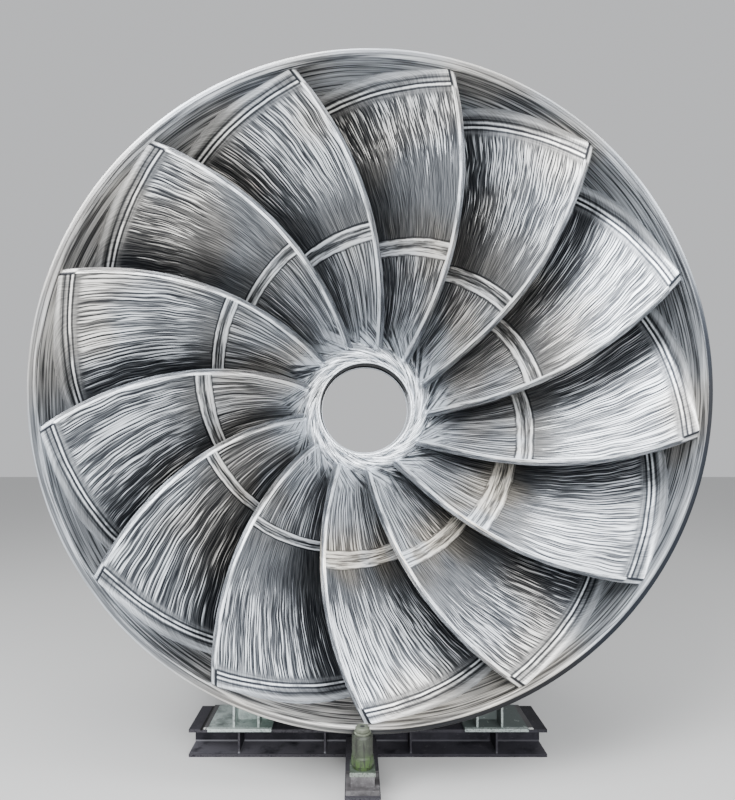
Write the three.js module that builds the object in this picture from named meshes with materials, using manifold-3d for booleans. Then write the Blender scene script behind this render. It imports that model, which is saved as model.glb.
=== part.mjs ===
// Francis turbine runner standing on edge in a welded cradle, outlet side to the front (-Y).
// Millimetres, +Z up. The runner axis lies along Y, and the floor is z = 0.
import * as THREE from 'three';
import { mergeVertices } from 'three/addons/utils/BufferGeometryUtils.js';
import Module from 'manifold-3d';

const wasm = await Module();
wasm.setup();
const { Manifold, Mesh: SolidMesh } = wasm;

// Clearance between pieces that touch
const seat = 0.3;

// Runner, depths measured from the outlet face of the band
const bladeCount = 13;
const firstTip = 20.9 * Math.PI / 180;
const axisHeight = 3580;
const bandRadius = 3000;
const bandLength = 1200;
const bandChamfer = 45;
const boreRadius = 560;
const coreRadius = 640;
const crownRadius = 2950;
const crownBack = 2800;
const couplingRadius = 1350;
const couplingFace = 2870;
const ringRadius = 620;
const ringFront = 2105;
const ringBack = 2350;
const ringNose = 10;
const noseDepth = 2125;
const rimDepth = 2650;
const seamRadius = 1630;
const lathesides = 8 * bladeCount;

// Blade, a trailing edge that falls back towards the hub along an even spiral
const tipRadius = 2930;
const edgeSpiral = 11.7 * Math.PI / 180;
const edgeEase = 0.43 * Math.PI / 180;
const edgeReach = 2066;
const edgeRise = 655;
const twistRate = 0.859;
const twistLimit = 0.72;
const tailThickness = 42;
const bodyThickness = 118;
const tailBevel = 25;
const noseStart = 0.93;
const hubStart = 735;
const bandEnd = 2960;
const spanSteps = 10;
const chordSteps = 12;

// Cradle beams and saddles
const beamHalfLength = 1790;
const beamHeight = 276;
const beamWidth = 540;
const frontBeam = 1000;
const rearBeam = 2725;
const plate = 30;
const saddleInner = 960;
const saddleOuter = 1590;
const saddleShift = 45;
const gussetInner = 1090;
const gussetOuter = 1335;
const saddleMiddle = 1235;
const webInner = 985;
const webOuter = 1372;
const tieOffset = 1200;
const tieSize = 200;
const tieWall = 15;
const stiffenerPlaces = [-1290, -430, 430, 1290];
const rib = 10;
const lap = 1;

// Jack in front of the outlet face
const jackX = -67;
const jackY = -120;
const skidFront = -300;
const skidHeight = 205;
const skidWidth = 300;
const skidWall = 18;
const plateTop = skidHeight + 43;
const blockTop = plateTop + 89;
const footTop = blockTop + 34;
const barrelTop = 655;
const barrelRadius = 90;
const barrelFloor = footTop + 60;
const ramRadius = 48;
const ramGap = 0.6;
const ramBore = ramRadius + 5;
const glandTop = barrelTop + 16;
const capFoot = barrelTop + 21;
const capTop = barrelTop + 56;

const depthMiddle = (skidFront + rearBeam + beamWidth / 2) / 2;

// Metals and paints
const finish = (color, roughness, metalness) => new THREE.MeshStandardMaterial({ color, roughness, metalness });
const groundSteel = () => finish(0xb4b7ba, 0.34, 0.95);
const smoothSteel = () => finish(0x8d9194, 0.3, 0.95);
const machinedSteel = () => finish(0xc4c9cc, 0.25, 0.95);
const darkPaint = () => finish(0x2b272c, 0.6, 0.2);
const palePaint = () => finish(0xaebbb4, 0.55, 0.1);
const jackPaint = () => finish(0x667a5c, 0.55, 0.2);
const bareSteel = () => finish(0x77776f, 0.4, 0.9);

const part = new THREE.Group();
part.name = 'francis_runner';
const runner = new THREE.Group();
runner.name = 'runner';
runner.position.set(0, -depthMiddle, axisHeight);
const cradle = new THREE.Group();
cradle.name = 'cradle';
cradle.position.set(0, -depthMiddle, 0);
const jack = new THREE.Group();
jack.name = 'jack';
jack.position.set(jackX, jackY - depthMiddle, 0);
part.add(runner, cradle, jack);

// Turns a closed geometry so that its faces look out, with shared corners
function closed(geometry) {
  const bare = new THREE.BufferGeometry();
  bare.setAttribute('position', geometry.getAttribute('position'));
  if (geometry.index) bare.setIndex(geometry.index);
  const body = mergeVertices(bare, 1e-3);
  const at = body.getAttribute('position');
  const corners = Array.from(body.index.array);
  const faces = [];
  for (let i = 0; i < corners.length; i += 3) {
    const [a, b, c] = corners.slice(i, i + 3);
    if (a !== b && b !== c && c !== a) faces.push([a, b, c]);
  }
  let volume = 0;
  const p = new THREE.Vector3();
  const q = new THREE.Vector3();
  const r = new THREE.Vector3();
  for (const [a, b, c] of faces) {
    p.fromBufferAttribute(at, a);
    q.fromBufferAttribute(at, b);
    r.fromBufferAttribute(at, c);
    volume += p.dot(q.cross(r));
  }
  body.setIndex(faces.flatMap(([a, b, c]) => (volume < 0 ? [a, c, b] : [a, b, c])));
  return body;
}

// Manifold body from a closed geometry
function solid(geometry) {
  const body = closed(geometry);
  return new Manifold(new SolidMesh({
    numProp: 3,
    vertProperties: new Float32Array(body.getAttribute('position').array),
    triVerts: new Uint32Array(body.index.array),
  }));
}

// Geometry from a manifold body
function geometryOf(body) {
  const mesh = body.getMesh();
  const geometry = new THREE.BufferGeometry();
  geometry.setAttribute('position', new THREE.BufferAttribute(new Float32Array(mesh.vertProperties), 3));
  geometry.setIndex(new THREE.BufferAttribute(new Uint32Array(mesh.triVerts), 1));
  return geometry;
}

function add(group, name, geometry, material) {
  const flat = geometry.index ? geometry.toNonIndexed() : geometry;
  flat.computeVertexNormals();
  const mesh = new THREE.Mesh(flat, material);
  mesh.name = name;
  group.add(mesh);
  return mesh;
}

// Ring turned about the runner axis, from a list of [radius, depth] corners
function turned(profile, sides = lathesides) {
  const points = profile.map(([radius, depth]) => new THREE.Vector2(radius, depth));
  points.push(points[0].clone());
  return closed(new THREE.LatheGeometry(points, sides));
}

// Box between two corners
function block(x0, x1, y0, y1, z0, z1) {
  const box = new THREE.BoxGeometry(x1 - x0, y1 - y0, z1 - z0);
  box.translate((x0 + x1) / 2, (y0 + y1) / 2, (z0 + z1) / 2);
  return box;
}

// Plate cut to an outline of [x, z] corners, thick along Y from y0 to y1
function cutPlate(outline, y0, y1) {
  const shape = new THREE.Shape(outline.map(([x, z]) => new THREE.Vector2(x, z)));
  const body = new THREE.ExtrudeGeometry(shape, { depth: y1 - y0, bevelEnabled: false });
  body.rotateX(Math.PI / 2);
  body.translate(0, y1, 0);
  return body;
}

function joined(pieces) {
  return geometryOf(Manifold.union(pieces.map(solid)));
}

// Band
const bandInside = [[2930, 40], [2910, 500], [2885, 900], [2870, bandLength]];
const band = turned([
  ...bandInside,
  [2960, bandLength],
  [bandRadius, bandLength - bandChamfer],
  [bandRadius, 0],
  [2955, 0],
]);
add(runner, 'band', band, groundSteel());

// Crown, its flow face from the ring seat out to the rim
const crownFace = [
  [650, 2090], [700, 2082], [760, 2112], [830, 2188], [950, 2290], [1200, 2402],
  [1500, 2490], [2000, 2590], [2500, 2640], [crownRadius, rimDepth],
];
const crown = turned([
  [ringRadius + seat, ringBack + seat],
  [ringRadius + seat, noseDepth],
  ...crownFace,
  [crownRadius, crownBack],
  [couplingRadius, crownBack],
  [couplingRadius, couplingFace],
  [coreRadius, couplingFace],
  [coreRadius, ringBack + seat],
]);
add(runner, 'crown', crown, smoothSteel());

// Hub ring let into the crown around the bore
const hubRing = turned([
  [boreRadius, ringBack],
  [boreRadius, ringFront + ringNose],
  [boreRadius + ringNose, ringFront],
  [ringRadius - ringNose, ringFront],
  [ringRadius, ringFront + ringNose],
  [ringRadius, ringBack],
]);
add(runner, 'hub_ring', hubRing, machinedSteel());

// Depth and angle of the trailing edge at a radius
const edgeDepth = (radius) => edgeReach * 1000 / radius - edgeRise;
function edgeAngle(radius) {
  const inwards = (radius - tipRadius) / 1000;
  return edgeSpiral * inwards - edgeEase * (inwards ** 2 + inwards ** 3);
}

// Angle of the visible blade face at a radius and depth
function faceAngle(radius, depth) {
  const run = (depth - edgeDepth(radius)) / 1000;
  return edgeAngle(radius) + twistLimit * Math.tanh(twistRate * run / twistLimit);
}

// Radians per millimetre of blade thickness
function slope(radius, depth) {
  const step = 1;
  const byRadius = (faceAngle(radius + step, depth) - faceAngle(radius - step, depth)) / (2 * step);
  const byDepth = (faceAngle(radius, depth + step) - faceAngle(radius, depth - step)) / (2 * step);
  return Math.hypot(1 / radius, byRadius, byDepth);
}

// Radius and depth of a blade point, u from hub to band and m from trailing to leading edge
function meridian(u, m) {
  const r0 = THREE.MathUtils.lerp(hubStart, bandEnd, u);
  const tail = [r0, edgeDepth(r0)];
  const bend = [THREE.MathUtils.lerp(840, 2920, u), THREE.MathUtils.lerp(2600, 600, u)];
  const nose = [THREE.MathUtils.lerp(2780, 2875, u), THREE.MathUtils.lerp(2700, 1110, u)];
  const weights = [(1 - m) ** 2, 2 * m * (1 - m), m ** 2];
  return [0, 1].map((k) => weights[0] * tail[k] + weights[1] * bend[k] + weights[2] * nose[k]);
}

// One blade, closed all round, before its ends are trimmed
function bladeBlank() {
  const rows = [];
  for (let i = 0; i <= spanSteps; i += 1) {
    const u = i / spanSteps;
    const face = [];
    const back = [];
    for (let j = 0; j <= chordSteps; j += 1) {
      const m = Math.sin(Math.PI / 2 * j / chordSteps) ** 1.2;
      const [radius, depth] = meridian(u, m);
      const full = THREE.MathUtils.lerp(tailThickness, bodyThickness, Math.min(1, m / 0.5));
      const nose = m <= noseStart ? 1 : Math.sqrt(Math.max(0, 1 - ((m - noseStart) / (1 - noseStart)) ** 2));
      const fade = (1 - m) ** 4;
      const half = full * slope(radius, depth) / 2;
      const middle = faceAngle(radius, depth) - half;
      const backDepth = depth + tailBevel * fade;
      face.push([radius, depth, middle + half * nose]);
      back.push([radius, backDepth, faceAngle(radius, backDepth) - half - half * nose]);
    }
    back.pop();
    rows.push([...face, ...back.reverse()]);
  }
  const around = rows[0].length;
  const positions = rows.flat().flatMap(([radius, depth, angle]) => (
    [radius * Math.cos(angle + firstTip), depth, radius * Math.sin(angle + firstTip)]
  ));
  const index = [];
  const quad = (a, b, c, d) => index.push(a, b, c, a, c, d);
  for (let i = 0; i < spanSteps; i += 1) {
    for (let j = 0; j < around; j += 1) {
      const a = i * around + j;
      const b = i * around + (j + 1) % around;
      quad(a, b, b + around, a + around);
    }
  }
  const last = spanSteps * around;
  const backOf = (j) => (j === chordSteps ? chordSteps : 2 * chordSteps - j);
  for (let j = 0; j < chordSteps; j += 1) {
    quad(j + 1, j, backOf(j), backOf(j + 1));
    quad(last + j, last + j + 1, last + backOf(j + 1), last + backOf(j));
  }
  const blank = new THREE.BufferGeometry();
  blank.setAttribute('position', new THREE.BufferAttribute(new Float32Array(positions), 3));
  blank.setIndex(index);
  return blank;
}

// Profile moved sideways by a distance, to the left of its direction
function offset(profile, distance) {
  return profile.map(([radius, depth], i) => {
    const before = profile[Math.max(0, i - 1)];
    const after = profile[Math.min(profile.length - 1, i + 1)];
    const [dr, dd] = [after[0] - before[0], after[1] - before[1]];
    const length = Math.hypot(dr, dd);
    return [radius + distance * dd / length, depth - distance * dr / length];
  });
}

// Room kept by the band and the crown, used to trim the blade ends
const far = 3300;
const near = 500;
const pastBand = bandLength + 60;
const bandRoom = solid(turned([
  [bandInside[0][0] - seat, -far],
  ...bandInside.map(([radius, depth]) => [radius - seat, depth]),
  [bandInside[3][0] - seat, pastBand],
  [far, pastBand],
  [far, -far],
]));
const crownEdge = [[ringRadius + seat, noseDepth], ...crownFace];
const crownRoom = solid(turned([
  [near, noseDepth - seat],
  ...offset(crownEdge, seat),
  [far, rimDepth - seat],
  [far, far],
  [near, far],
]));
const innerRoom = (radius) => solid(turned([[near, 0], [radius, 0], [radius, far], [near, far]]));

const largest = (body) => body.decompose().sort((a, b) => b.volume() - a.volume())[0];
const blade = solid(bladeBlank()).subtract(bandRoom).subtract(crownRoom);
const bladeOuter = geometryOf(largest(blade.subtract(innerRoom(seamRadius + seat / 2))));
const bladeRoot = geometryOf(largest(blade.intersect(innerRoom(seamRadius - seat / 2))));
for (let k = 0; k < bladeCount; k += 1) {
  const number = String(k + 1).padStart(2, '0');
  const outer = add(runner, `blade_outer_${number}`, bladeOuter, groundSteel());
  const root = add(runner, `blade_root_${number}`, bladeRoot, smoothSteel());
  outer.rotation.y = -2 * Math.PI * k / bladeCount;
  root.rotation.y = outer.rotation.y;
}

// Welded wide-flange beam with stiffeners, its length along X
function beam(halfLength, width, height, stiffeners, wall = plate) {
  const inset = width / 2 - 12;
  const pieces = [
    block(-halfLength, halfLength, -width / 2, width / 2, 0, wall),
    block(-halfLength, halfLength, -width / 2, width / 2, height - wall, height),
    block(-halfLength, halfLength, -wall / 2, wall / 2, wall - lap, height - wall + lap),
  ];
  for (const x of stiffeners) {
    pieces.push(block(x - rib, x + rib, -inset, inset, wall - lap, height - wall + lap));
  }
  return joined(pieces);
}

for (const [name, depth] of [['beam_front', frontBeam], ['beam_rear', rearBeam]]) {
  const mesh = add(cradle, name, beam(beamHalfLength, beamWidth, beamHeight, stiffenerPlaces), darkPaint());
  mesh.position.y = depth;
}
const tieHalf = (rearBeam - frontBeam - beamWidth) / 2 - seat;
for (const [name, x] of [['tie_left', -tieOffset], ['tie_right', tieOffset]]) {
  const mesh = add(cradle, name, beam(tieHalf, tieSize, tieSize, [], tieWall), darkPaint());
  mesh.rotation.z = Math.PI / 2;
  mesh.position.set(x, (frontBeam + rearBeam) / 2, 0);
}

// Saddle on a beam, a pad on gussets that follows the rim it carries
function saddle(side, radius, baseHalf, padFront, padBack) {
  const facet = 2 * Math.PI / lathesides;
  const base = beamHeight + seat;
  const foot = base + plate - lap;
  const arc = (reach) => [5, 6, 7, 8].map((i) => (
    [reach * Math.sin(i * facet), axisHeight - reach * Math.cos(i * facet)]
  ));
  const inner = arc(radius + seat);
  const outer = arc(radius + seat + plate).reverse();
  const under = (x) => axisHeight - Math.sqrt((radius + seat + plate / 2) ** 2 - x ** 2);
  const middle = (padFront + padBack) / 2;
  const crest = [webOuter, saddleMiddle, gussetInner, webInner].map((x) => [x, under(x)]);
  const web = [[webInner, foot], [webOuter, foot], ...crest];
  const mirror = (outline) => outline.map(([x, z]) => [side * x, z]);
  const pieces = [
    block(...[side * saddleInner, side * saddleOuter].sort((a, b) => a - b), -baseHalf, baseHalf, base, base + plate),
    cutPlate(mirror([...inner, ...outer]), padFront, padBack),
    cutPlate(mirror(web), middle - rib, middle + rib),
  ];
  for (const x of [gussetInner, gussetOuter]) {
    const left = x - rib;
    const right = x + rib;
    const gusset = [[left, foot], [right, foot], [right, under(right)], [left, under(left)]];
    pieces.push(cutPlate(mirror(gusset), padFront + rib, padBack - rib));
  }
  return joined(pieces);
}

for (const [hand, side] of [['left', -1], ['right', 1]]) {
  const front = add(cradle, `saddle_front_${hand}`, saddle(side, bandRadius, 277, -255, 140), palePaint());
  front.position.y = frontBeam - saddleShift;
  const rear = add(cradle, `saddle_rear_${hand}`, saddle(side, crownRadius, 250, -70, 70), palePaint());
  rear.position.y = rearBeam;
}

// Jack, a stack of bearers with a ram that slides up out of its barrel
function post(profile, sides = 40) {
  const points = profile.map(([radius, height]) => new THREE.Vector2(radius, height));
  const body = closed(new THREE.LatheGeometry(points, sides));
  body.rotateX(Math.PI / 2);
  return body;
}

// Bearer of the jack, half its width and half its depth about the jack's axis
const bearer = (halfWidth, halfDepth, bottom, top) => (
  block(-halfWidth, halfWidth, -halfDepth, halfDepth, bottom + seat, top)
);

const skidBack = frontBeam - beamWidth / 2 - seat - jackY;
const skidNose = skidFront - jackY;
const skid = beam((skidBack - skidNose) / 2, skidWidth, skidHeight, [], skidWall);
const skidMesh = add(jack, 'jack_skid', skid, darkPaint());
skidMesh.rotation.z = Math.PI / 2;
skidMesh.position.y = (skidBack + skidNose) / 2;
add(jack, 'jack_base_plate', bearer(142, 150, skidHeight, plateTop), bareSteel());
add(jack, 'jack_block', bearer(100, 105, plateTop, blockTop), bareSteel());
add(jack, 'jack_foot', bearer(108, 108, blockTop, footTop), palePaint());
add(jack, 'jack_barrel', post([
  [0, footTop + seat],
  [barrelRadius - 6, footTop + seat],
  [barrelRadius - 6, footTop + 22],
  [barrelRadius + 6, footTop + 32],
  [barrelRadius + 6, footTop + 96],
  [barrelRadius, footTop + 110],
  [barrelRadius, barrelTop - 22],
  [barrelRadius - 10, barrelTop],
  [ramBore, barrelTop],
  [ramBore, barrelFloor],
  [0, barrelFloor],
]), jackPaint());
add(jack, 'jack_gland', post([
  [ramRadius + ramGap, barrelTop + seat],
  [72, barrelTop + seat],
  [72, barrelTop + 12],
  [68, glandTop],
  [ramRadius + ramGap, glandTop],
  [ramRadius + ramGap, barrelTop + seat],
]), bareSteel());
add(jack, 'jack_ram', post([
  [0, barrelFloor + 10],
  [ramRadius, barrelFloor + 10],
  [ramRadius, capFoot],
  [62, capFoot],
  [62, capTop - 12],
  [50, capTop],
  [0, capTop],
]), bareSteel());

export default part;
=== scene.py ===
import math

import bpy
import numpy as np
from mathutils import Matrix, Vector


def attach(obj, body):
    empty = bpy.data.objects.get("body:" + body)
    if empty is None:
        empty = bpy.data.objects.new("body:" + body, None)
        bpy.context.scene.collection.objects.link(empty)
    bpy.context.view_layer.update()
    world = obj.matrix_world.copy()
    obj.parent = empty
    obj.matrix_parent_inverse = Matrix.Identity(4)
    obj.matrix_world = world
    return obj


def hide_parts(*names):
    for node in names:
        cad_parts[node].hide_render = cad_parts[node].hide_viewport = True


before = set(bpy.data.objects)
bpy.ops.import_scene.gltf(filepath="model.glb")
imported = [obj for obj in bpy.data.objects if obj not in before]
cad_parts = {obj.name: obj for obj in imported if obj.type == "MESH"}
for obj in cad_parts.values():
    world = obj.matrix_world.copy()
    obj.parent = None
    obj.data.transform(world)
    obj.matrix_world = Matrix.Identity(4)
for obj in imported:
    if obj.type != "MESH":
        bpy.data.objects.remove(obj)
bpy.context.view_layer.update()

BODY = "runner_on_cradle"

# Runner, in metres and radians. Depths are measured from the outlet face of the band, and angles in the picture,
# counter-clockwise from the right. On a blade u runs from hub to band and m from trailing to leading edge.
BLADES = 13
PITCH = 2 * math.pi / BLADES
FIRST_TIP = math.radians(20.9)
AXIS_Z = 3.58
FACE_Y = -1.3475
SEAM_R = 1.63
TIP_R = 2.93

# Turned bodies: band, hub ring, crown with its core and coupling flange, and sleeve and lip in the bore behind the
# ring, with a seat between nodes that are welded and a join between the sleeve and its neighbours
BAND_R, BAND_DEPTH = 3.0, 1.2
BORE_R, RING_R = 0.56, 0.62
RING_FRONT, RING_BACK = 2.105, 2.35
CORE_R = 0.64
CROWN_BACK = 2.8
FLANGE_R, FLANGE_BACK = 1.35, 2.87
SLEEVE_R, SLEEVE_BACK = 0.6, 2.49
LIP_R, LIP_BACK = 0.546, 2.502
SEAT = 0.0003
JOIN = 0.0005
TURNED_STEPS = 16 * BLADES
PATH_STEPS = 10

# Trailing edge: its depth is EDGE_CURVE / radius - EDGE_SHIFT, and its angle turns with the distance from the tip
EDGE_CURVE = 2.066
EDGE_SHIFT = 0.655
EDGE_SPIRAL = math.radians(11.7)
EDGE_EASE = math.radians(0.43)

# Meridian section of a blade: radius and depth at the hub, and how much they change up to the band
EDGE_R, EDGE_R_CHANGE = 0.735, 2.225
BEND, BEND_CHANGE = (0.84, 2.60), (2.08, -2.00)
NOSE, NOSE_CHANGE = (2.78, 2.70), (0.095, -1.59)

# Twist and thickness of a blade
TWIST_RATE = 0.859
TWIST_LIMIT = 0.72
TAIL = 0.042
BODY_THICK = 0.118
FULL_THICK_M = 0.5
TAIL_BEVEL = 0.025
NOSE_START = 0.93
BLADE_COLUMNS = 60
BLADE_ROWS = {"outer": 60, "root": 34}

# Welds on a blade: beads on both sides of the seam's groove, and the radius of the hollow welds along the walls,
# which grow from the trailing edge and shrink again towards the nose
BEAD_HEIGHT, BEAD_AT, BEAD_WIDTH = 0.007, 0.047, 0.014
GROOVE_DEPTH = 0.003
BAND_WELD_R = 0.095
CROWN_WELD_R = 0.085
WELD_GROWN_M = 0.22
WELD_SHRINKS_M = 0.86

# Welds on the hub: where they leave a blade's root and how far they run inwards, and for the two of each blade how
# far outwards and clockwise of the trailing edge they begin, how many degrees they turn, and half width and height
HUB_WELD_R, HUB_WELD_INWARDS = 0.80, 0.185
HUB_WELDS = [(0.0, 0.01, 52, 0.026, 0.015), (0.045, 0.17, 40, 0.018, 0.010)]
HUB_WELD_STEPS, HUB_WELD_COLUMNS = 36, 18

# Flow surfaces as (radius, depth)
BAND_INSIDE = [(TIP_R, 0.04), (2.91, 0.5), (2.885, 0.9), (2.87, BAND_DEPTH)]
CROWN_FACE = [
    (0.65, 2.09), (0.70, 2.082), (0.76, 2.112), (0.83, 2.188), (0.95, 2.29), (1.2, 2.402),
    (1.5, 2.49), (2.0, 2.59), (2.5, 2.64), (2.95, 2.65),
]

# Hand grinding of each blade, from the first tip on: width of the seam as a factor, and from 0 to 1 how smeared the
# seam is, how dull the blade is, and how close, short, comb-like and far inwards its strokes are
GRINDING = [
    (1.00, 0.1, 0.55, 1.0, 0.2, 0.7, 0.90),
    (1.00, 0.0, 0.50, 0.7, 0.6, 0.3, 0.60),
    (1.00, 0.6, 0.60, 0.5, 0.9, 0.1, 0.10),
    (1.00, 0.0, 0.50, 0.7, 0.3, 0.6, 0.60),
    (0.75, 0.0, 0.70, 0.8, 0.3, 0.4, 0.10),
    (0.80, 0.0, 0.40, 0.5, 0.1, 0.9, 0.90),
    (0.95, 0.0, 0.60, 0.4, 0.2, 0.5, 0.90),
    (0.75, 0.0, 0.85, 0.2, 0.0, 0.9, 1.00),
    (0.70, 0.0, 0.85, 0.9, 0.2, 0.6, 0.45),
    (1.10, 1.0, 0.15, 0.4, 0.3, 0.8, 0.70),
    (1.05, 1.0, 0.50, 0.6, 0.4, 0.3, 0.40),
    (1.35, 1.0, 0.20, 0.6, 0.1, 0.9, 0.70),
    (1.00, 0.3, 0.40, 0.9, 0.0, 0.8, 0.90),
]

# Sides of the runner, in degrees of the picture, where painted shade darkens the bore wall and the rim
BORE_SHADE_SIDE = 115
RIM_SHADE_SIDE = -38

STEEL_ROUGHNESS = 0.34
GRINDING_DEPTH = 0.006
PAINT_SCALE = 9.0

# Front faces of beam, saddles and jack foot, where the paint is worn and a highlight is painted
BEAM_FRONT_Y = -0.6035
SADDLE_FRONT_Y = -0.634
FOOT_FRONT_Y = -1.573

FLOOR_HALF = 60


# Shapes

def smooth_path(points):
    """Catmull-Rom curve through a list of (radius, depth) points."""
    p = np.array([points[0]] + list(points) + [points[-1]], float)
    out = []
    for i in range(1, len(p) - 2):
        t = np.linspace(0, 1, PATH_STEPS, endpoint=False)[:, None]
        a, b, c, d = p[i - 1:i + 3]
        out.append(0.5 * (2 * b + (c - a) * t + (2 * a - 5 * b + 4 * c - d) * t**2 + (3 * b - a - 3 * c + d) * t**3))
    return np.vstack(out + [p[-1:]])


BAND_CURVE = smooth_path(BAND_INSIDE)
CROWN_CURVE = smooth_path(CROWN_FACE)


def band_radius(depth):
    """Inner radius of the band at a depth."""
    return np.interp(depth, BAND_CURVE[:, 1], BAND_CURVE[:, 0])


def crown_depth(radius):
    """Depth of the crown's flow face at a radius."""
    return np.interp(radius, CROWN_CURVE[:, 0], CROWN_CURVE[:, 1])


def edge_depth(r):
    """Depth of a trailing edge at a radius."""
    return EDGE_CURVE / r - EDGE_SHIFT


def edge_angle(r):
    """Angle of a trailing edge at a radius, 0 at the tip."""
    x = r - TIP_R
    return EDGE_SPIRAL * x - EDGE_EASE * (x**2 + x**3)


def face_angle(r, a):
    """Angle of a blade's middle at a radius and depth."""
    return edge_angle(r) + TWIST_LIMIT * np.tanh(TWIST_RATE * (a - edge_depth(r)) / TWIST_LIMIT)


def slope(r, a):
    """Angle that a metre of thickness takes up, from the slopes of the blade's middle."""
    e = 1e-3
    by_r = (face_angle(r + e, a) - face_angle(r - e, a)) / (2 * e)
    by_a = (face_angle(r, a + e) - face_angle(r, a - e)) / (2 * e)
    return np.sqrt(1 / r**2 + by_r**2 + by_a**2)


def meridian(u, m):
    """Radius and depth of a blade point, on a curve from the trailing edge over the bend to the nose."""
    radius = EDGE_R + u * EDGE_R_CHANGE
    tail = np.stack([radius, edge_depth(radius)])
    bend, nose = (np.stack([at_hub + u * change for at_hub, change in zip(start, changes)])
                  for start, changes in ((BEND, BEND_CHANGE), (NOSE, NOSE_CHANGE)))
    return (1 - m)**2 * tail + 2 * m * (1 - m) * bend + m**2 * nose


def spans(m):
    """For each m, the u at the crown, at the seam and at the band, looked for from just before to just past them."""
    u = np.linspace(-0.02, 1.03, 2000)
    crown, seam, band = [], [], []
    for one in m:
        r, a = meridian(u, one)
        crown.append(u[int(np.argmax(crown_depth(r) - a > 0))])
        band.append(u[len(u) - 1 - int(np.argmax((band_radius(a) - r)[::-1] > 0))])
        seam.append(u[int(np.argmax(r > SEAM_R))])
    return np.array(crown), np.array(seam), np.array(band)


def place(r, a, angle):
    """Points in the frame from radius, depth and picture angle."""
    return np.stack([r * np.cos(angle), a + FACE_Y, r * np.sin(angle) + AXIS_Z], axis=-1)


def ease(x):
    """0 below 0, 1 above 1, smooth between."""
    x = np.clip(x, 0, 1)
    return x * x * (3 - 2 * x)


def fillet(distance, radius):
    """Height of a hollow weld of this radius at a distance from the wall."""
    left = radius - np.clip(distance, 0, radius)
    return radius - np.sqrt(np.maximum(radius**2 - left**2, 0))


def weld_height(r, a, m, spread):
    """Height above the plain blade of the seam's beads, which fade at the trailing edge, and of the hollow welds."""
    gap = np.abs(r - SEAM_R) / spread
    seam = BEAD_HEIGHT * np.exp(-((gap - BEAD_AT) / BEAD_WIDTH)**2) - GROOVE_DEPTH * np.exp(-(gap / BEAD_WIDTH)**2)
    seam = seam * ease((m - 0.002) / 0.02)
    grow = 0.06 + 0.94 * ease(m / WELD_GROWN_M)
    fade = 1 - ease((m - WELD_SHRINKS_M) / (1 - WELD_SHRINKS_M))
    band = fillet(band_radius(a) - r, BAND_WELD_R * grow)
    crown = fillet(crown_depth(r) - a, CROWN_WELD_R * grow)
    return seam + (band + crown) * (0.15 + 0.85 * fade)


def blade_sides(u, m, spread):
    """Angles and depths of the visible face and the back of a blade, before rotation."""
    r, a = meridian(u, m)
    full = TAIL + (BODY_THICK - TAIL) * np.minimum(1, m / FULL_THICK_M)
    nose = np.where(m <= NOSE_START, 1.0, np.sqrt(np.clip(1 - ((m - NOSE_START) / (1 - NOSE_START))**2, 0, 1)))
    rate = slope(r, a)
    half = full * rate / 2
    proud = weld_height(r, a, m, spread) * rate * ease(1.04 - m)
    deep = a + TAIL_BEVEL * (1 - m)**4
    face = face_angle(r, a) - half + half * nose + proud
    back = face_angle(r, deep) - half - half * nose - proud
    return r, a, deep, face, back


def tube_faces(rows, columns):
    """Quads of a tube of rows rings, each with this many points."""
    faces = []
    for i in range(rows - 1):
        for j in range(columns):
            q = (j + 1) % columns
            faces.append((i * columns + j, i * columns + q, (i + 1) * columns + q, (i + 1) * columns + j))
    return faces


def tube_ends(rows, columns):
    """The first and the last ring of a tube as faces."""
    return [tuple(reversed(range(columns))), tuple(range((rows - 1) * columns, rows * columns))]


def mesh_object(name, points, faces, layers=(), smooth=35, body=BODY):
    """Mesh piece, smooth up to an angle in degrees. Layers are (name, "POINT" or "CORNER", values)."""
    mesh = bpy.data.meshes.new(name)
    mesh.from_pydata([tuple(p) for p in points], [], [tuple(int(i) for i in f) for f in faces])
    for title, domain, values in layers:
        values = np.asarray(values, np.float32)
        kind = "FLOAT_VECTOR" if values.ndim == 2 else "FLOAT"
        layer = mesh.attributes.new(title, kind, domain)
        layer.data.foreach_set("vector" if values.ndim == 2 else "value", values.ravel())
    mesh.shade_smooth()
    mesh.set_sharp_from_angle(angle=math.radians(smooth))
    piece = bpy.data.objects.new(name, mesh)
    bpy.context.scene.collection.objects.link(piece)
    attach(piece, body)
    return piece


def turned(name, profile):
    """Body turned about the runner axis from a closed list of (radius, depth)."""
    profile = np.array(profile)
    n = len(profile)
    step = 2 * math.pi / TURNED_STEPS
    run = np.concatenate([[0], np.cumsum(np.hypot(*np.diff(profile, axis=0).T))])
    last = run[-1] + math.hypot(*(profile[0] - profile[-1]))
    angle = step * np.arange(TURNED_STEPS)
    points = place(profile[None, :, 0], profile[None, :, 1] + 0 * angle[:, None], angle[:, None]).reshape(-1, 3)
    faces, lines = [], []
    for i in range(TURNED_STEPS):
        k = (i + 1) % TURNED_STEPS
        low, high = i * step, (i + 1) * step
        for j in range(n):
            q = (j + 1) % n
            faces.append((i * n + j, k * n + j, k * n + q, i * n + q))
            here, there = profile[j], profile[q]
            far = run[q] if q else last
            lines += [(*here, low, run[j]), (*here, high, run[j]), (*there, high, far), (*there, low, far)]
    lines = np.array(lines)
    layers = [("lines", "CORNER", lines[:, :3]), ("run", "CORNER", lines[:, 3])]
    return mesh_object(name, points, faces, layers, smooth=30)


# Materials

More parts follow.
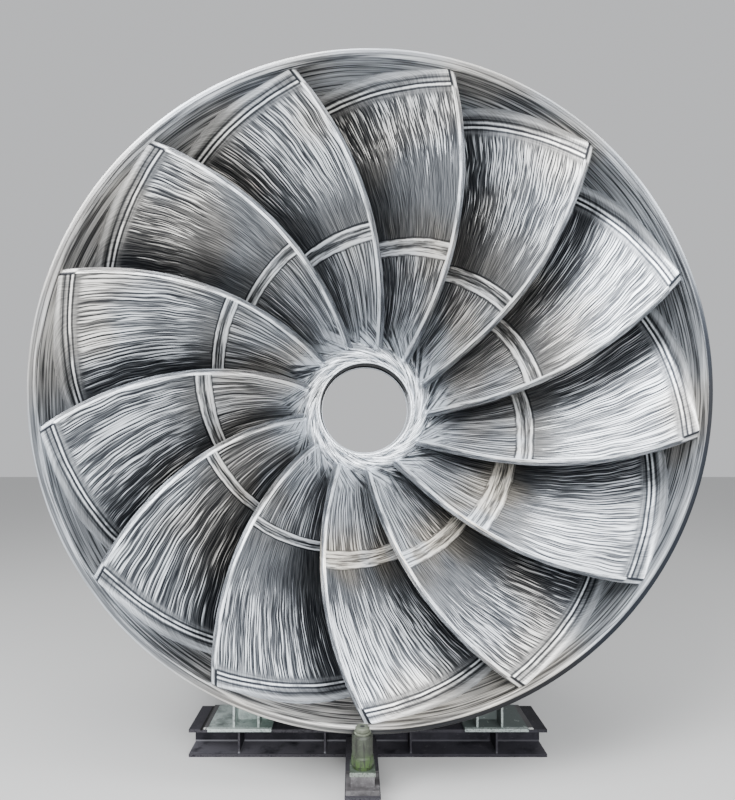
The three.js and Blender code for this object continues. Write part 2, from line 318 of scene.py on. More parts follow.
class Nodes:
    """A short way to write a node tree. Values are numbers or the outputs of other nodes."""

    def __init__(self, name):
        self.material = bpy.data.materials.new(name)
        self.material.use_nodes = True
        self.tree = self.material.node_tree
        self.shader = self.tree.nodes["Principled BSDF"]

    def set(self, socket, value):
        if isinstance(value, bpy.types.NodeSocket):
            self.tree.links.new(value, socket)
        else:
            socket.default_value = value

    def add(self, kind, values=(), out=0, settings=()):
        """Node of a kind, with values for its inputs by name or number."""
        node = self.tree.nodes.new("ShaderNode" + kind)
        for key, value in dict(settings).items():
            setattr(node, key, value)
        for key, value in dict(values).items():
            self.set(node.inputs[key], value)
        return node.outputs[out]

    def math(self, kind, a, b=0.0, c=0.0, clamp=False):
        return self.add("Math", {0: a, 1: b, 2: c}, settings={"operation": kind, "use_clamp": clamp})

    def plus(self, a, b):
        return self.math("ADD", a, b)

    def minus(self, a, b):
        return self.math("SUBTRACT", a, b)

    def times(self, a, b):
        return self.math("MULTIPLY", a, b)

    def scaled(self, a, b, c):
        """a times b, plus c."""
        return self.math("MULTIPLY_ADD", a, b, c)

    def darker(self, value, mask, share):
        """Value, less this share of it where the mask is 1."""
        return self.times(value, self.scaled(mask, -share, 1.0))

    def towards(self, angle, degrees):
        """1 at this angle of the picture, -1 opposite it."""
        return self.math("COSINE", self.minus(angle, math.radians(degrees)))

    def spiral(self, turn, radius, fine, outwards):
        """Noise coordinates for strokes that follow lines of equal turn about the axis."""
        x = self.times(self.math("COSINE", turn), fine)
        y = self.times(self.math("SINE", turn), fine)
        return self.add("CombineXYZ", {0: x, 1: y, 2: self.times(radius, outwards)})

    # Mix nodes go by number, because their sockets for numbers and for colours have the same names
    def mix(self, factor, a, b):
        return self.add("Mix", {0: factor, 6: a, 7: b}, 2, {"data_type": "RGBA"})

    def blend(self, factor, a, b):
        return self.add("Mix", {0: factor, 2: a, 3: b}, 0, {"data_type": "FLOAT"})

    def tinted(self, colour, tint):
        return self.add("Mix", {0: 1.0, 6: colour, 7: tint}, 2, {"data_type": "RGBA", "blend_type": "MULTIPLY"})

    def band(self, value, low, high):
        """0 below low, 1 above high, smooth between."""
        return self.add("MapRange", {0: value, 1: low, 2: high}, settings={"interpolation_type": "SMOOTHSTEP"})

    def pulse(self, value, centre, half):
        """1 near a centre, 0 further than half from it."""
        gap = self.math("ABSOLUTE", self.minus(value, centre))
        return self.band(gap, half, half * 0.4)

    def noise(self, vector, detail=3.0, roughness=0.6, scale=1.0):
        return self.add("TexNoise", {"Vector": vector, "Scale": scale, "Detail": detail, "Roughness": roughness})

    def stretch(self, vector, x, y, z=1.0):
        return self.add("VectorMath", {0: vector, 1: (x, y, z)}, settings={"operation": "MULTIPLY"})

    def nudge(self, vector, amount, by):
        """Vector moved by amount times a direction."""
        return self.add("VectorMath", {0: amount, 1: by, 2: vector}, settings={"operation": "MULTIPLY_ADD"})

    def layer(self, name, out="Vector"):
        return self.add("Attribute", out=out, settings={"attribute_name": name})

    def split(self, vector):
        node = self.add("SeparateXYZ", {0: vector}).node
        return node.outputs[0], node.outputs[1], node.outputs[2]

    def random(self, value):
        return self.add("TexWhiteNoise", {"W": value}, settings={"noise_dimensions": "1D"})

    def bump(self, height, strength, distance):
        return self.add("Bump", {"Height": height, "Strength": strength, "Distance": distance})

    def shade(self, **inputs):
        for key, value in inputs.items():
            self.set(self.shader.inputs[key.replace("_", " ")], value)
        return self.material


DARK_METAL = (0.024, 0.026, 0.031, 1)
BRIGHT_METAL = (0.98, 0.985, 0.99, 1)
COOL = (0.90, 0.945, 1.0, 1)
WARM = (1.0, 0.965, 0.91, 1)
STRAW = (1.0, 0.925, 0.80, 1)


def metal(n, value, height, where, heat=0.0):
    """Steel coloured by a 0 to 1 value, with cool and warm clouds and a straw tint where heat is 1."""
    tint = n.mix(n.band(n.noise(where, detail=2.0, scale=0.55), 0.5, 0.64), COOL, WARM)
    tint = n.mix(heat, tint, STRAW)
    level = n.math("POWER", n.math("MAXIMUM", value, 0.0), 2.2, clamp=True)
    colour = n.tinted(n.mix(level, DARK_METAL, BRIGHT_METAL), tint)
    gloss = n.blend(value, STEEL_ROUGHNESS + 0.14, STEEL_ROUGHNESS)
    hard = n.blend(level, 0.97, 0.55)
    return n.shade(Base_Color=colour, Metallic=hard, Roughness=gloss, Normal=n.bump(height, 0.6, GRINDING_DEPTH))


def blade_steel(name, across, along, reach, calm, hardness, dark):
    """Hand-ground blade face: streaks along the span, partly painted reflection of the grinding, welds with painted
    highlights and painted shade, a painted highlight along the trailing edge and painted shade towards the next
    blade. Across and along say how fine the streaks are, reach where the bright ones end inwards, calm and hardness
    how strong they are inside and outside of it, and dark the tone between them."""
    n = Nodes(name)
    where = n.add("TexCoord", out="Object")
    grain = n.layer("grain")
    swing = n.layer("swing", "Fac")
    seam, wall, edge = n.split(n.layer("lines"))
    _, radius, seed = n.split(grain)
    short, combing, inward = n.split(n.layer("strokes"))
    smear, dull, close = n.split(n.layer("state"))
    luck = n.random(n.plus(seed, 17.3))

    # Wavy strokes, with a fineness and length of their own on each blade, and a comb of even lines to mix in
    wave = n.noise(n.stretch(grain, 2.6, 3.4), 1.0)
    moved = n.nudge(grain, wave, (0.045, 0, 0))
    closeness = n.scaled(close, across * 0.6, across * 0.75)
    shortness = n.scaled(short, along * 1.3, along * 0.6)
    grid = n.add("CombineXYZ", {0: closeness, 1: shortness, 2: 1.0})
    grid = n.add("VectorMath", {0: moved, 1: grid}, settings={"operation": "MULTIPLY"})
    coarse = n.noise(grid, 2.0, 0.55)
    # Painted light and shade: each streak gets a bright and a dark side from this offset difference, as its relief
    # would catch the light
    beside = n.noise(n.add("VectorMath", {0: grid, 1: (0.5, 0, 0)}), 2.0, 0.55)
    relief_light_and_shade = n.minus(coarse, beside)
    row, _, _ = n.split(grid)
    bend = n.noise(n.stretch(grid, 0.3, 0.5), 1.0)
    phase = n.scaled(bend, 14.0, n.times(row, 2.7))
    comb = n.scaled(n.math("SINE", phase), 0.16, 0.5)
    coarse = n.blend(n.scaled(combing, 0.35, 0.17), coarse, comb)
    fine = n.noise(n.stretch(moved, across * 1.8, along * 1.7), 2.0, 0.6)
    cloud = n.noise(n.stretch(grain, 1.7, 1.1), 2.0)
    bundle = n.noise(n.stretch(moved, 9.0, 1.5), 2.0)
    ragged = n.noise(n.stretch(moved, across * 0.6, 1.3), 3.0, 0.6)

    # Where the coarse streaks are, with a ragged inner end, and fewer far from the trailing edge, where painted shade
    # darkens the face towards the next blade
    start = n.scaled(inward, -0.6, reach)
    fringe = n.scaled(ragged, 1.1, n.minus(radius, start))
    zone = n.times(n.band(fringe, 0.48, 0.62), n.band(wall, 0.12, 0.2))
    zone = n.scaled(zone, hardness - calm, calm)
    # Painted shade towards the next blade, with a ragged edge, fading out 1.5 to 2 m behind the trailing edge
    tongue = n.scaled(n.minus(ragged, 0.5), 0.8, swing)
    far_side_shade = n.times(n.band(tongue, 0.22, 0.5), n.band(n.math("ABSOLUTE", edge), 2.0, 1.5))
    middle = n.scaled(dull, 0.09, 0.482)
    middle = n.scaled(n.minus(bundle, 0.5), -0.22, middle)
    middle = n.scaled(far_side_shade, 0.06, middle)
    # Bright coarse streaks and fine lines of the grinding, partly painted reflection of its grooves
    hard = n.band(coarse, n.minus(middle, 0.035), n.plus(middle, 0.045))
    lively = n.band(fine, 0.36, 0.62)
    floor_tone = n.scaled(dull, -0.1, dark)
    streak = n.scaled(hard, n.minus(0.8, floor_tone), n.scaled(lively, 0.24, floor_tone))
    streak = n.scaled(relief_light_and_shade, 1.3, streak)
    even = n.scaled(lively, 0.22, n.scaled(cloud, 0.46, 0.06))
    even = n.scaled(relief_light_and_shade, 0.5, even)
    value = n.darker(n.blend(zone, even, streak), far_side_shade, 0.26)

    # Seam: painted highlights on its ridges and painted shade in its grooves, at these distances from its middle,
    # uneven and unlike from blade to blade
    strokes = n.noise(n.stretch(grain, 3.2, 75.0), 3.0)
    rough_edge = n.noise(n.stretch(grain, 5.0, 5.0), 4.0)
    drift = n.scaled(n.minus(rough_edge, 0.5), n.scaled(smear, 0.014, 0.024), seam)
    gap = n.math("ABSOLUTE", drift)
    strip = n.scaled(n.band(strokes, 0.38, 0.6), 0.55, n.scaled(smear, 0.1, 0.4))
    value = n.blend(n.band(gap, 0.08, 0.062), value, strip)
    shine = n.band(rough_edge, 0.3, 0.55)
    outer_ridge = n.times(n.pulse(drift, 0.05, 0.012), n.scaled(luck, 0.7, 0.2))
    inner_ridge = n.times(n.pulse(drift, -0.05, 0.012), n.scaled(luck, -0.5, 0.95))
    ridges = n.times(n.plus(outer_ridge, inner_ridge), n.scaled(shine, 0.7, 0.3))
    ridges = n.darker(ridges, smear, 0.5)
    value = n.plus(value, ridges)
    crisp = n.scaled(smear, -0.65, 1.0)
    # Painted shade beside the beads and in the middle groove, weaker where the seam is smeared
    grooves = n.scaled(n.pulse(drift, 0.071, 0.012), 0.6, n.times(n.pulse(drift, -0.071, 0.009), 0.35))
    grooves = n.scaled(n.pulse(drift, 0.026, 0.01), 0.3, grooves)
    value = n.times(value, n.minus(1.0, n.times(grooves, crisp)))
    middle_groove = n.times(n.band(gap, 0.014, 0.005), crisp)
    value = n.darker(value, middle_groove, 0.5)

    # Hollow weld: grey strip, then thin painted highlight and painted shade lines at these distances from the wall
    fray = n.scaled(n.minus(rough_edge, 0.5), 0.014, wall)
    sweep = n.scaled(n.band(strokes, 0.35, 0.65), 0.16, n.scaled(lively, 0.16, 0.32))
    value = n.blend(n.band(fray, 0.17, 0.13), value, sweep)
    value = n.darker(value, n.pulse(fray, 0.116, 0.01), 0.55)
    value = n.scaled(n.times(n.pulse(fray, 0.099, 0.01), shine), 0.6, value)
    value = n.darker(value, n.pulse(fray, 0.083, 0.009), 0.7)
    value = n.scaled(n.times(n.pulse(fray, 0.066, 0.009), n.band(cloud, 0.4, 0.6)), 0.45, value)
    value = n.darker(value, n.pulse(fray, 0.048, 0.008), 0.5)
    value = n.scaled(n.band(fray, 0.036, 0.02), 0.32, value)

    # Hub end: strokes that leave the blade along its span and bend into the swirl round the hub
    flame = n.scaled(n.minus(bundle, 0.5), 0.5, radius)
    root = n.band(flame, 1.04, 0.84)
    sideways, _, level = n.split(where)
    turn = n.math("ARCTAN2", n.minus(level, AXIS_Z), sideways)
    inner = n.minus(1.12, radius)
    turn = n.scaled(n.times(inner, inner), 2.6, turn)
    curls = n.noise(n.spiral(turn, radius, 27.0, 3.0), 3.0, 0.65)
    value = n.blend(n.times(root, 0.85), value, n.scaled(n.band(curls, 0.42, 0.54), 0.78, 0.22))

    # Trailing edge
    end_face = n.times(n.band(edge, 0.0, -0.004), n.band(edge, -0.05, -0.03))
    polish = n.band(n.noise(n.stretch(grain, 1.5, 4.5), 3.0, 0.6), 0.4, 0.58)
    value = n.blend(end_face, value, n.scaled(lively, 0.2, n.scaled(polish, 0.22, 0.17)))
    tip = n.times(n.band(radius, 2.3, 2.6), n.band(fray, 0.125, 0.1))
    rim_light = n.times(n.pulse(edge, -0.003, 0.012), n.scaled(polish, 0.55, 0.35))
    value = n.scaled(rim_light, n.minus(1.0, tip), value)

    # Weld that turns round the blade's tip, with a dark line on each side of it
    value = n.scaled(n.times(tip, n.pulse(edge, -0.017, 0.01)), 0.4, value)
    cracks = n.math("ADD", n.pulse(edge, 0.002, 0.011), n.pulse(edge, -0.038, 0.012), clamp=True)
    value = n.darker(value, n.times(tip, cracks), 0.85)

    height = n.plus(n.times(coarse, zone), n.times(fine, 0.3))
    straw = n.times(n.band(n.math("ABSOLUTE", seam), 0.36, 0.06), n.scaled(smear, 0.75, 0.25))
    straw = n.times(straw, n.band(cloud, 0.4, 0.6))
    return metal(n, value, height, where, heat=straw)


def turned_steel(name, across, along, low, high, plain, swirl=False, rim=False):
    """Ground steel of a turned body with streaks around it. Low and high say how many of them are bright. Plain
    gives the radii and the depths between which it changes to plain turning marks, swirl adds the strokes round the
    hub and painted shade on the bore wall, and rim the outlet face with a line of painted shade and the straw tint
    of the band."""
    n = Nodes(name)
    where = n.add("TexCoord", out="Object")
    radius, depth, angle = n.split(n.layer("lines"))
    run = n.layer("run", "Fac")
    cosine, sine = n.math("COSINE", angle), n.math("SINE", angle)
    grain = n.add("CombineXYZ", {0: run, 1: n.times(cosine, 2.0), 2: n.times(sine, 2.0)})
    wave = n.noise(n.stretch(grain, 1.5, 1.3, 1.3), 1.0)
    moved = n.nudge(grain, wave, (0.05, 0, 0))
    coarse = n.noise(n.stretch(moved, across, along, along), 3.0, 0.55)
    fine = n.noise(n.stretch(moved, across * 2.5, along * 2.0, along * 2.0), 2.0)
    cloud = n.noise(n.stretch(grain, 2.0, 1.2, 1.2), 2.0)
    hard = n.band(coarse, low, high)
    value = n.scaled(hard, 0.5, n.times(n.band(fine, 0.3, 0.7), 0.28))
    value = n.scaled(cloud, 0.4, n.minus(value, 0.02))
    if swirl:
        # Strokes round the hub, a bright and a dark line beside the bore, and painted shade on its wall
        turn = n.scaled(radius, -4.36, angle)
        lines = n.noise(n.spiral(turn, radius, 40.0, 5.0), 3.0, 0.65)
        near = n.times(n.band(radius, 0.98, 0.80), n.band(depth, 2.36, 2.3))
        bright = n.scaled(n.band(lines, 0.42, 0.54), 0.93, 0.22)
        bright = n.scaled(n.pulse(radius, 0.566, 0.012), 0.5, bright)
        bright = n.darker(bright, n.pulse(radius, 0.587, 0.009), 0.5)
        value = n.blend(near, value, bright)
        wall = n.times(n.band(depth, 2.12, 2.14), n.band(radius, 0.64, 0.61))
        bore_shade = n.band(n.towards(angle, BORE_SHADE_SIDE), -0.35, 0.1)
        value = n.blend(n.times(wall, bore_shade), value, 0.0)

    # Turning marks outside of the ground part
    inner, outer, front, back = plain
    marks = n.noise(n.stretch(grain, 150.0, 0.7, 0.7), 2.0, 0.7)
    broad = n.noise(n.stretch(grain, 9.0, 0.5, 0.5), 2.0)
    calm = n.scaled(marks, 0.22, n.scaled(broad, 0.22, 0.36))
    outside = n.times(n.band(radius, inner, outer), n.band(depth, front, back))
    value = n.blend(outside, value, calm)
    if rim:
        # Outlet face with a bright outer lip and a line of painted shade on its lower right
        face = n.times(n.band(depth, 0.012, 0.004), n.band(radius, 2.945, 2.955))
        around = n.towards(angle, RIM_SHADE_SIDE)
        dirt_and_shade = n.times(n.band(around, 0.35, 0.8), n.times(face, n.band(radius, 2.956, 2.966)))
        lip = n.pulse(radius, 2.992, 0.016)
        value = n.blend(face, value, n.scaled(lip, 0.25, n.scaled(fine, 0.5, 0.22)))
        value = n.blend(dirt_and_shade, value, 0.0)

    rough_height = n.scaled(coarse, 0.8, n.times(fine, 0.3))
    height = n.blend(outside, rough_height, n.times(marks, 0.15))
    _, _, level = n.split(where)
    straw = n.times(n.band(level, 1.5, 0.8), 0.6) if rim else 0.0
    return metal(n, value, height, where, heat=straw)


def shaded_bore_wall(name):
    """Matt bore wall with painted shade on its upper left."""
    n = Nodes(name)
    where = n.add("TexCoord", out="Object")
    _, _, angle = n.split(n.layer("lines"))
    mottle = n.noise(n.stretch(where, 30.0, 9.0, 30.0), 3.0)
    bore_shade = n.band(n.scaled(mottle, 0.4, n.towards(angle, BORE_SHADE_SIDE)), -0.15, 0.3)
    colour = n.mix(bore_shade, (0.62, 0.63, 0.65, 1), (0.006, 0.006, 0.008, 1))
    return n.shade(Base_Color=colour, Roughness=0.85, Specular_IOR_Level=0.05, Normal=n.bump(mottle, 0.5, 0.002))


def coat(name, colour, dirt_and_shade, wear, roughness=0.55, metallic=0.0, specular=0.5, foot=None, edge=None, drips=0.0,
         dust=None, sides=None, weld=None, recess=None, stripe=None, dim=0.0):
    """Paint with scuffs and small dents. Foot gives another colour below a height, edge bare metal with a painted
    highlight in front of a depth, dust a colour on upper faces that is thicker near the floor, sides painted light
    with a colour at the left and painted shade with one at the right, weld a bright line at a height, recess painted
    shade as a dark hole around a point on top, stripe a painted shadow as a dark line across the top flange, and
    dim paints shade on the right half by weakening the edge, the dust and the weld there."""
    n = Nodes(name)
    where = n.add("TexCoord", out="Object")
    big = n.noise(where, 5.0, scale=PAINT_SCALE * 0.35)
    small = n.noise(where, 4.0, 0.7, PAINT_SCALE * 6.0)
    scuff = n.noise(n.stretch(where, 3.0, 3.0, 22.0), 3.0, scale=PAINT_SCALE * 0.6)
    patches = n.noise(where, 4.0, 0.65, PAINT_SCALE * 1.7)
    aside, depth, height = n.split(where)
    # Painted light at the left and painted shade at the right, each as a colour of its own
    if sides:
        colour = n.mix(n.band(aside, -1.0, -1.35), colour, sides[0])
        colour = n.mix(n.band(aside, 0.4, 0.9), colour, sides[1])
    if foot:
        level, shade_low = foot
        line = n.scaled(patches, 0.2, height)
        colour = n.mix(n.band(line, level + 0.22, level + 0.05), colour, shade_low)
    tone = n.mix(n.band(big, 0.38, 0.72), colour, dirt_and_shade)
    tone = n.mix(n.times(n.band(small, 0.45, 0.8), 0.35), tone, dirt_and_shade)
    tone = n.mix(n.times(n.band(patches, 0.52, 0.66), 0.5), tone, dirt_and_shade)
    if drips:
        fall = n.noise(n.stretch(where, 40.0, 40.0, 5.0), 3.0)
        tone = n.mix(n.times(n.band(fall, 0.5, 0.62), drips), tone, dirt_and_shade)
    _, _, up = n.split(n.add("NewGeometry", out="Normal"))
    # Painted shade on the right half: the edge, the dust and the weld are weaker there
    bright_side = n.scaled(n.band(aside, -0.3, 0.5), -dim, 1.0) if dim else 1.0
    if dust:
        amount = n.times(n.scaled(n.band(height, 0.2, 0.1), 0.7, 0.3), bright_side)
        tone = n.mix(n.times(n.band(up, 0.6, 0.9), n.times(amount, n.band(big, 0.3, 0.5))), tone, dust)
    tone = n.mix(n.times(n.band(scuff, 0.62, 0.72), 0.7), tone, wear)
    # Front edge: worn bare metal, and a painted highlight
    if edge:
        front, bare_and_lit = edge
        chipped_and_lit = n.times(n.band(depth, front + 0.003, front), n.band(small, 0.62, 0.5))
        tone = n.mix(n.times(n.times(chipped_and_lit, 0.85), bright_side), tone, bare_and_lit)
    if weld:
        level, bead = weld
        upright = n.times(n.band(up, 0.6, 0.3), bright_side)
        tone = n.mix(n.times(n.pulse(height, level, 0.012), n.times(upright, 0.8)), tone, bead)
    # Painted shadow: a near-black line across the top, where a gap beside the stop bar lies in shade
    if stripe:
        across, half = stripe
        on_top = n.times(n.band(height, 0.262, 0.27), n.band(depth, 0.0, -0.05))
        tone = n.mix(n.times(n.pulse(aside, across, half), on_top), tone, (0.002, 0.002, 0.002, 1))
    # Painted shade in the hole on top
    if recess:
        x, y, radius = recess
        away = n.math("POWER", n.minus(aside, x), 2.0)
        away = n.plus(away, n.math("POWER", n.minus(depth, y), 2.0))
        hole = n.band(away, radius**2 * 1.3, radius**2 * 0.8)
        tone = n.mix(n.times(hole, n.band(up, 0.6, 0.9)), tone, (0.01, 0.01, 0.01, 1))
    rough = n.scaled(small, 0.3, roughness - 0.12)
    bumps = n.scaled(small, 0.3, big)
    return n.shade(Base_Color=tone, Metallic=metallic, Roughness=rough, Specular_IOR_Level=specular,
                   Normal=n.bump(bumps, 0.25, 0.004))


outer_steel = blade_steel("outer_ground_steel", across=76.0, along=2.8, reach=2.42, calm=0.06, hardness=0.94,
                          dark=0.23)
root_steel = blade_steel("root_ground_steel", across=44.0, along=2.4, reach=0.9, calm=0.3, hardness=0.8, dark=0.42)
band_steel = turned_steel("band_ground_steel", across=42.0, along=1.5, low=0.345, high=0.585,
                          plain=(2.952, 2.958, 0.002, 0.01), rim=True)
crown_steel = turned_steel("crown_ground_steel", across=46.0, along=1.8, low=0.4, high=0.62,
                           plain=(0.63, 0.632, 2.652, 2.66), swirl=True)
bore_steel = shaded_bore_wall("bore_painted_shade_steel")
ring_steel = turned_steel("ring_turned_steel", across=90.0, along=1.2, low=0.3, high=0.6,
                          plain=(0.5, 0.51, 2.34, 2.35), swirl=True)
dark_paint = coat("dark_beam_paint", (0.005, 0.005, 0.008, 1), dirt_and_shade=(0.018, 0.017, 0.023, 1),
                  wear=(0.055, 0.052, 0.058, 1), specular=0.2, edge=(BEAM_FRONT_Y, (0.044, 0.042, 0.049, 1)),
                  dust=(0.075, 0.073, 0.085, 1), weld=(0.04, (0.16, 0.16, 0.175, 1)), stripe=(-1.664, 0.017), dim=0.75)
# Saddle paint: its colour and dirt tone are darkened as painted shade under the runner, and its sides add painted light
# at the left and painted shade at the right
pale_paint = coat("pale_saddle_paint", (0.17, 0.235, 0.21, 1), dirt_and_shade=(0.05, 0.066, 0.062, 1),
                  wear=(0.3, 0.34, 0.32, 1), edge=(SADDLE_FRONT_Y, (0.42, 0.48, 0.46, 1)),
                  sides=((0.46, 0.53, 0.51, 1), (0.055, 0.068, 0.066, 1)), dim=0.5)
stop_paint = coat("stop_bar_paint", (0.03, 0.028, 0.03, 1), dirt_and_shade=(0.012, 0.011, 0.012, 1), wear=(0.2, 0.2, 0.2, 1),
                  edge=(BEAM_FRONT_Y, (0.6, 0.62, 0.6, 1)), dust=(0.16, 0.16, 0.165, 1), stripe=(-1.648, 0.012),
                  dim=0.4)
foot_paint = coat("jack_foot_paint", (0.06, 0.08, 0.06, 1), dirt_and_shade=(0.015, 0.02, 0.014, 1),
                  wear=(0.3, 0.34, 0.3, 1), edge=(FOOT_FRONT_Y, (0.17, 0.19, 0.17, 1)))
jack_paint = coat("green_jack_paint", (0.033, 0.04, 0.027, 1), dirt_and_shade=(0.008, 0.009, 0.006, 1),
                  wear=(0.15, 0.165, 0.12, 1), foot=(0.44, (0.03, 0.062, 0.011, 1)), drips=0.95)
cap_paint = coat("jack_cap_paint", (0.12, 0.135, 0.1, 1), dirt_and_shade=(0.035, 0.038, 0.025, 1), wear=(0.35, 0.37, 0.3, 1),
                 metallic=0.1, recess=(-0.067, FACE_Y - 0.12, 0.02))
bare_steel = coat("bare_jack_steel", (0.15, 0.145, 0.15, 1), dirt_and_shade=(0.025, 0.022, 0.024, 1),
                  wear=(0.2, 0.2, 0.21, 1), roughness=0.5, metallic=0.3)


# Blades

def blade_grid(kind, k):
    """One blade piece: face, back, edges and ends as one closed sheet, close together at the edges."""
    m = np.sin(np.linspace(0, math.pi / 2, BLADE_COLUMNS))**1.25
    rows = BLADE_ROWS[kind]
    crown, seam, band = spans(m)
    if kind == "root":
        keep = seam > crown + 0.002
        m, low, high = m[keep], crown[keep], seam[keep]
    else:
        low, high = np.maximum(crown, seam), band
    t = (0.5 - 0.5 * np.cos(np.linspace(0, math.pi, rows)))[:, None]
    u = low + (high - low) * t
    mm = np.repeat(m[None], rows, 0)
    spread, smear, dull, close, *strokes = GRINDING[k]
    r, a, deep, face, back = blade_sides(u, mm, spread)
    turn = FIRST_TIP + k * PITCH
    front = place(r, a, face + turn)
    rear = place(r, deep, back + turn)[:, -2::-1]
    points = np.concatenate([front, rear], 1)
    step = np.linalg.norm(np.diff(front, axis=1), axis=2)
    run = np.concatenate([np.zeros((rows, 1)), np.cumsum(step, 1)], 1)
    swing = face_angle(r, a) - edge_angle(r)
    wall = np.minimum(band_radius(a) - r, crown_depth(r) - a)
    if kind == "outer":
        wall = np.where(a < BAND_DEPTH + 0.05, wall, crown_depth(r) - a)

    def both(front_value, rear_value):
        return np.concatenate([front_value, rear_value[:, -2::-1]], 1)

    # Strokes run along the span, bend away far behind the trailing edge, and differ from blade to blade
    seed = np.full_like(r, 3.1 * k)
    stroke = swing * 2.2 + 0.45 * np.maximum(run - 1.35, 0)**2 + 7.3 * k
    grain = np.stack([both(stroke, stroke + 3.0), both(r, r), both(seed, seed)], -1)
    lines = np.stack([(both(r, r) - SEAM_R) / spread, both(wall, wall), both(run, -0.03 - run)], -1)
    cols = points.shape[1]
    n = front.shape[1]
    faces = tube_faces(rows, cols)
    top = (rows - 1) * cols

    # The two ends, as strips between each point of the face and the one behind it
    def behind(j):
        return n - 1 if j == n - 1 else cols - 1 - j

    for j in range(n - 1):
        low_cap = (j + 1, j, behind(j), behind(j + 1))
        faces.append(low_cap if j < n - 2 else low_cap[:3])
        high_cap = (top + j, top + j + 1, top + behind(j + 1), top + behind(j))
        faces.append(high_cap if j < n - 2 else (high_cap[0], high_cap[1], high_cap[3]))
    layers = [("grain", "POINT", grain.reshape(-1, 3)), ("lines", "POINT", lines.reshape(-1, 3)),
              ("swing", "POINT", both(swing, swing).ravel()),
              ("strokes", "POINT", np.tile(strokes, (points.size // 3, 1))),
              ("state", "POINT", np.tile((smear, dull, close), (points.size // 3, 1)))]
    return points.reshape(-1, 3), faces, layers


for k in range(BLADES):
    for kind, steel in (("outer", outer_steel), ("root", root_steel)):
        points, faces, layers = blade_grid(kind, k)
        piece = mesh_object(f"blade_{kind}_form_{k + 1:02d}", points, faces, layers)
        piece.data.materials.append(steel)
        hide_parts(f"blade_{kind}_{k + 1:02d}")

# Band, crown and hub

band = turned("band_form", [tuple(p) for p in BAND_CURVE] + [
    (2.96, BAND_DEPTH), (2.985, 1.19), (BAND_R, 1.155), (BAND_R, 0.006), (2.995, 0.0), (2.956, 0.0), (2.944, 0.015)])
band.data.materials.append(band_steel)
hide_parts("band")

crown = turned("crown_form", [
    (RING_R + SEAT, RING_BACK + SEAT), (RING_R + SEAT, 2.125), (0.634, 2.1)] + [tuple(p) for p in CROWN_CURVE] + [
    (2.95, CROWN_BACK), (FLANGE_R, CROWN_BACK), (FLANGE_R, FLANGE_BACK), (CORE_R, FLANGE_BACK),
    (CORE_R, RING_BACK + SEAT)])
crown.data.materials.append(crown_steel)
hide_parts("crown")

ring = turned("hub_ring_form", [
    (BORE_R, RING_BACK), (BORE_R, 2.118), (0.563, 2.109), (0.572, RING_FRONT), (0.608, RING_FRONT), (0.617, 2.109),
    (RING_R, 2.118), (RING_R, RING_BACK)])
ring.data.materials.append(ring_steel)
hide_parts("hub_ring")

sleeve = turned("bore_sleeve", [
    (BORE_R, SLEEVE_BACK), (BORE_R, RING_BACK + JOIN), (SLEEVE_R, RING_BACK + JOIN), (SLEEVE_R, SLEEVE_BACK)])
sleeve.data.materials.append(bore_steel)

lip = turned("bore_lip", [
    (LIP_R, LIP_BACK), (LIP_R, SLEEVE_BACK + 0.0025), (LIP_R + 0.002, SLEEVE_BACK + JOIN),
    (SLEEVE_R, SLEEVE_BACK + JOIN), (SLEEVE_R, LIP_BACK)])
lip.data.materials.append(ring_steel)

# Ground that the hub welds lie on, ring and crown, as (radius, depth)
HUB_GROUND = np.array([(BORE_R, 2.106), (RING_R, 2.106), (0.634, 2.1)] + [tuple(p) for p in CROWN_CURVE])


def hub_weld(k, lane):
    """Weld that runs on from a trailing edge root and curls clockwise into the hub ring. The first of each blade
    begins on the edge itself, the second on the crown beside it."""
    outwards, aside, degrees, half_width, height = HUB_WELDS[lane]
    s = np.linspace(0, 1, HUB_WELD_STEPS)
    r = HUB_WELD_R - HUB_WELD_INWARDS * s**0.75 + outwards * (1 - s)
    start = FIRST_TIP + k * PITCH + edge_angle(HUB_WELD_R) - aside
    angle = start - math.radians(degrees) * s**1.15
    floor = np.interp(r, HUB_GROUND[:, 0], HUB_GROUND[:, 1])
    depth = floor + (np.minimum(edge_depth(r), floor) - floor) * (1 - ease(s / 0.22)) * (1 - lane)
    dr, dt = np.gradient(r), r * np.gradient(angle)
    size = np.hypot(dr, dt)
    side_r, side_t = -dt / size, dr / size
    swell = np.sin(math.pi * np.clip(s * 0.94 + 0.06, 0, 1))**0.6
    wide = half_width * (0.35 + 0.65 * swell)
    high = height * swell
    turn = np.linspace(0, 2 * math.pi, HUB_WELD_COLUMNS, endpoint=False)
    c, h = np.cos(turn), np.sin(turn)
    points, grain, rims = [], [], []
    for i in range(HUB_WELD_STEPS):
        rr = r[i] + wide[i] * c * side_r[i]
        tt = angle[i] + wide[i] * c * side_t[i] / r[i]
        ground = np.interp(rr, HUB_GROUND[:, 0], HUB_GROUND[:, 1]) + depth[i] - floor[i]
        aa = np.where(h > 0, ground - high[i] * h, ground - 0.004 * h)
        points.append(place(rr, aa, tt))
        grain.append(np.stack([wide[i] * c * 4 + k, np.full_like(c, s[i] * 0.7), np.full_like(c, 5.0 * k + lane)], -1))
        rims.append(np.abs(c))
    faces = tube_ends(HUB_WELD_STEPS, HUB_WELD_COLUMNS) + tube_faces(HUB_WELD_STEPS, HUB_WELD_COLUMNS)
    piece = mesh_object(f"hub_weld_{k + 1:02d}_{lane + 1}", np.concatenate(points), faces,
                        [("grain", "POINT", np.concatenate(grain)), ("rim", "POINT", np.concatenate(rims))], smooth=50)
    piece.data.materials.append(weld_steel)


